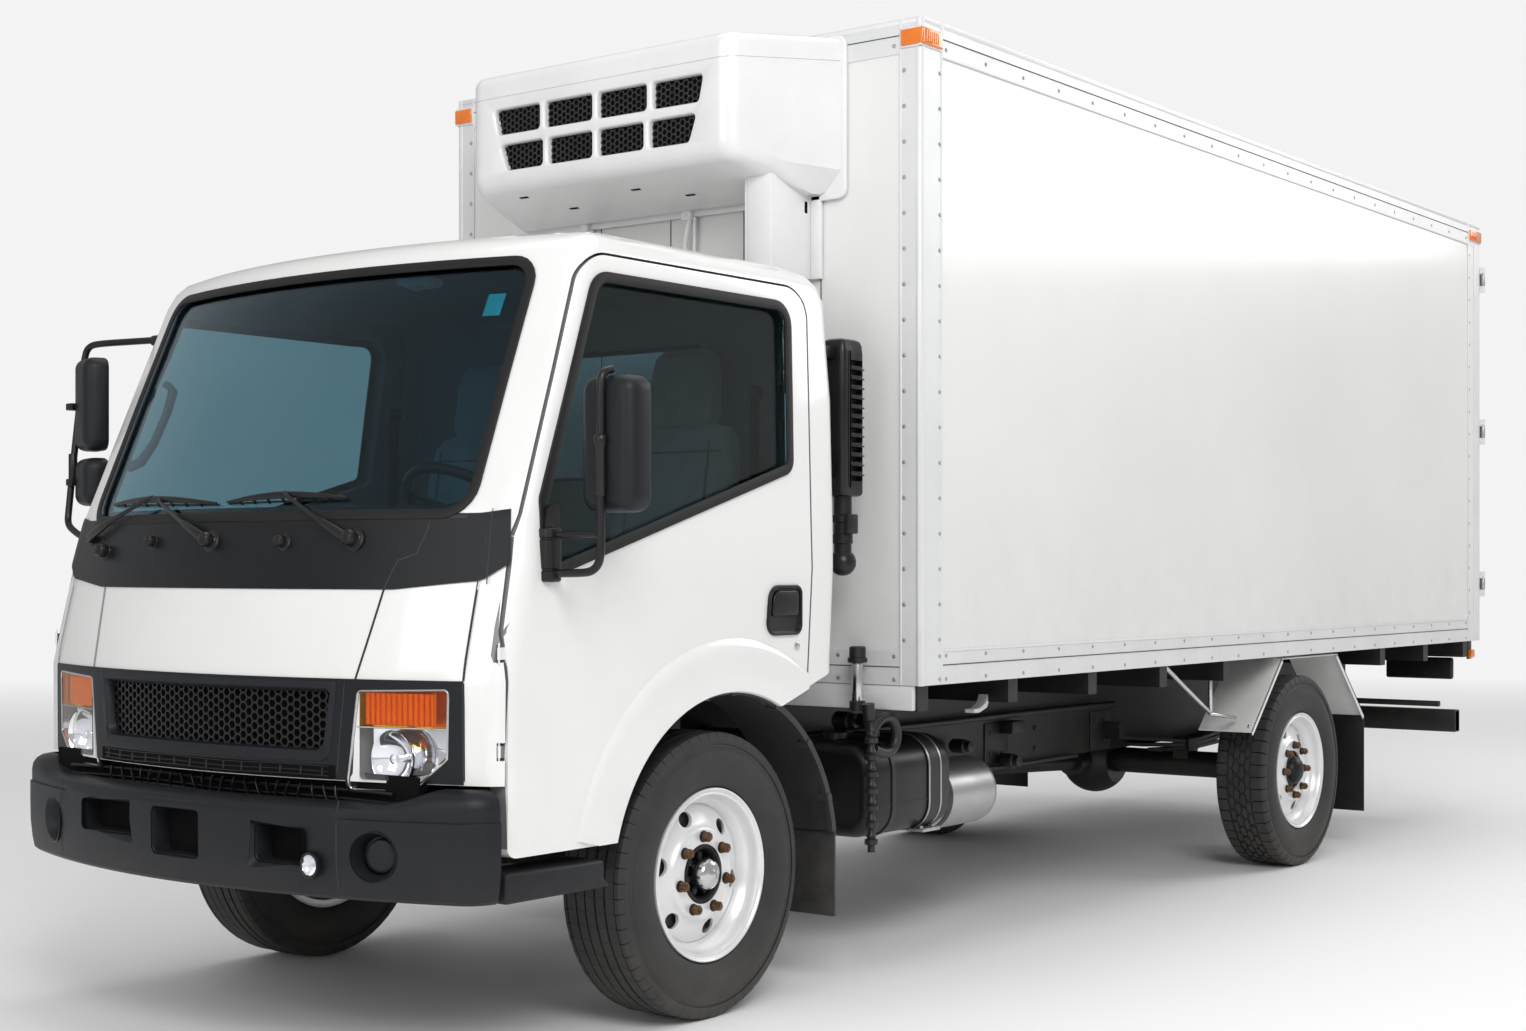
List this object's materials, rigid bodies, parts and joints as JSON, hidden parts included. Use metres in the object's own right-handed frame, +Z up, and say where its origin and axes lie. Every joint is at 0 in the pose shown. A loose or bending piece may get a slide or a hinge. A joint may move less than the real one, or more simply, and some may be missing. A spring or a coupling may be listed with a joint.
{
  "type": "refrigerated box truck",
  "caption": "Cab-over truck with an insulated box body, front-mounted cooling unit, tilting cab, opening doors, steering and turning wheels.",
  "frame": {"origin": "on the ground under the middle of the whole truck", "axes": "+Z up, -Y the way the truck faces, +X its left side"},
  "size_m": [2.38, 7.1599, 2.9449],
  "materials": {
    "cab_paint": "white gloss paint",
    "box_panel": "smooth white panel skin",
    "box_rail": "white painted aluminium edge strip",
    "unit_shell": "white moulded shell",
    "chassis_black": "black chassis paint",
    "cast_block": "as cast, dark",
    "plastic_black": "fine grained black plastic",
    "bumper_plastic": "dark grey moulded plastic",
    "tyre_rubber": "black tyre rubber",
    "wheel_silver": "silver wheel paint",
    "aluminium": "brushed",
    "glass_tint": "tinted glass",
    "lamp": "clear and amber lamp lens",
    "lamp_red": "red lamp lens",
    "seat_cloth": "dark grey seat cloth",
    "dash_plastic": "grey dash plastic",
    "floor_mat": "black rubber mat",
    "fender_white": "white painted plate"
  },
  "bodies": {
    "chassis": {"frame_rails": "chassis_black", "front_axle": "chassis_black", "rear_axle": "chassis_black", "engine_block": "cast_block", "fuel_tank": "plastic_black", "air_cylinder": "aluminium", "battery_box": "plastic_black", "front_mudguards": "plastic_black", "rear_fenders": "fender_white", "underrun_bar": "chassis_black", "front_bumper": "bumper_plastic", "box_floor": "fender_white", "box_subframe": "fender_white", "box_wall_left": "box_panel", "box_wall_right": "box_panel", "box_front_wall": "box_panel", "box_roof": "box_panel", "box_rear_frame": "box_rail", "box_edge_rails": "box_rail", "tail_lamps": "lamp_red", "cooling_unit": "unit_shell"},
    "cab": {"cab_front_panel": "cab_paint", "cab_roof": "cab_paint", "cab_back_panel": "cab_paint", "cab_floor": "floor_mat", "cab_glass": "glass_tint", "grille": "plastic_black", "headlamps": "lamp", "dashboard": "dash_plastic", "seats": "seat_cloth", "wipers": "plastic_black", "air_intake": "plastic_black"},
    "steering_wheel": {"steering_wheel": "plastic_black"},
    "cab_door_left": {"door_left": "cab_paint", "door_glass_left": "glass_tint", "mirror_left": "plastic_black"},
    "cab_door_right": {"door_right": "cab_paint", "door_glass_right": "glass_tint", "mirror_right": "plastic_black"},
    "knuckle_left": {"knuckle_left": "cast_block"},
    "knuckle_right": {"knuckle_right": "cast_block"},
    "tie_rod": {"tie_rod": "chassis_black"},
    "wheel_front_left": {"tyre_front_left": "tyre_rubber", "wheel_front_left": "wheel_silver"},
    "wheel_front_right": {"tyre_front_right": "tyre_rubber", "wheel_front_right": "wheel_silver"},
    "wheel_rear_left": {"tyre_rear_left": "tyre_rubber", "wheel_rear_left": "wheel_silver"},
    "wheel_rear_right": {"tyre_rear_right": "tyre_rubber", "wheel_rear_right": "wheel_silver"},
    "box_door_left": {"rear_door_left": "box_panel"},
    "box_door_right": {"rear_door_right": "box_panel"}
  },
  "joints": [
    {"name": "cab_tilt", "type": "hinge", "parent": "chassis", "child": "cab", "pos_m": [0, -3.375, 0.8], "axis": [1, 0, 0], "range_deg": [0, 45]},
    {"name": "cab_door_left_hinge", "type": "hinge", "parent": "cab", "child": "cab_door_left", "pos_m": [0.907, -3.307, 1], "axis": [0, 0, -1], "range_deg": [0, 70]},
    {"name": "cab_door_right_hinge", "type": "hinge", "parent": "cab", "child": "cab_door_right", "pos_m": [-0.907, -3.307, 1], "axis": [0, 0, 1], "range_deg": [0, 70]},
    {"name": "steer_left", "type": "hinge", "parent": "chassis", "child": "knuckle_left", "pos_m": [0.7, -2.445, 0.3985], "axis": [0, 0, 1], "range_deg": [-32, 32]},
    {"name": "steer_right", "type": "hinge", "parent": "chassis", "child": "knuckle_right", "pos_m": [-0.7, -2.445, 0.3985], "axis": [0, 0, 1], "range_deg": [-32, 32]},
    {"name": "tie_rod_turn", "type": "hinge", "parent": "knuckle_left", "child": "tie_rod", "pos_m": [0.7, -2.28, 0.3235], "axis": [0, 0, 1], "range_deg": [-32, 32]},
    {"name": "steering_wheel_turn", "type": "hinge", "parent": "cab", "child": "steering_wheel", "pos_m": [0.42, -2.93, 1.37], "axis": [0, 0.6198, 0.7848], "range_deg": [-576, 576]},
    {"name": "spin_front_left", "type": "hinge", "parent": "knuckle_left", "child": "wheel_front_left", "pos_m": [0.785, -2.445, 0.3985], "axis": [1, 0, 0], "continuous": true},
    {"name": "spin_front_right", "type": "hinge", "parent": "knuckle_right", "child": "wheel_front_right", "pos_m": [-0.785, -2.445, 0.3985], "axis": [1, 0, 0], "continuous": true},
    {"name": "spin_rear_left", "type": "hinge", "parent": "chassis", "child": "wheel_rear_left", "pos_m": [0.87, 1.405, 0.3985], "axis": [1, 0, 0], "continuous": true},
    {"name": "spin_rear_right", "type": "hinge", "parent": "chassis", "child": "wheel_rear_right", "pos_m": [-0.87, 1.405, 0.3985], "axis": [1, 0, 0], "continuous": true},
    {"name": "box_door_left_hinge", "type": "hinge", "parent": "chassis", "child": "box_door_left", "pos_m": [1.012, 3.558, 1.9], "axis": [0, 0, -1], "range_deg": [0, 255]},
    {"name": "box_door_right_hinge", "type": "hinge", "parent": "chassis", "child": "box_door_right", "pos_m": [-1.012, 3.558, 1.9], "axis": [0, 0, 1], "range_deg": [0, 255]}
  ],
  "couplings": [
    {"joint": "steer_right", "follows": "steer_left", "ratio": 1},
    {"joint": "tie_rod_turn", "follows": "steer_left", "ratio": -1},
    {"joint": "steering_wheel_turn", "follows": "steer_left", "ratio": 18}
  ]
}
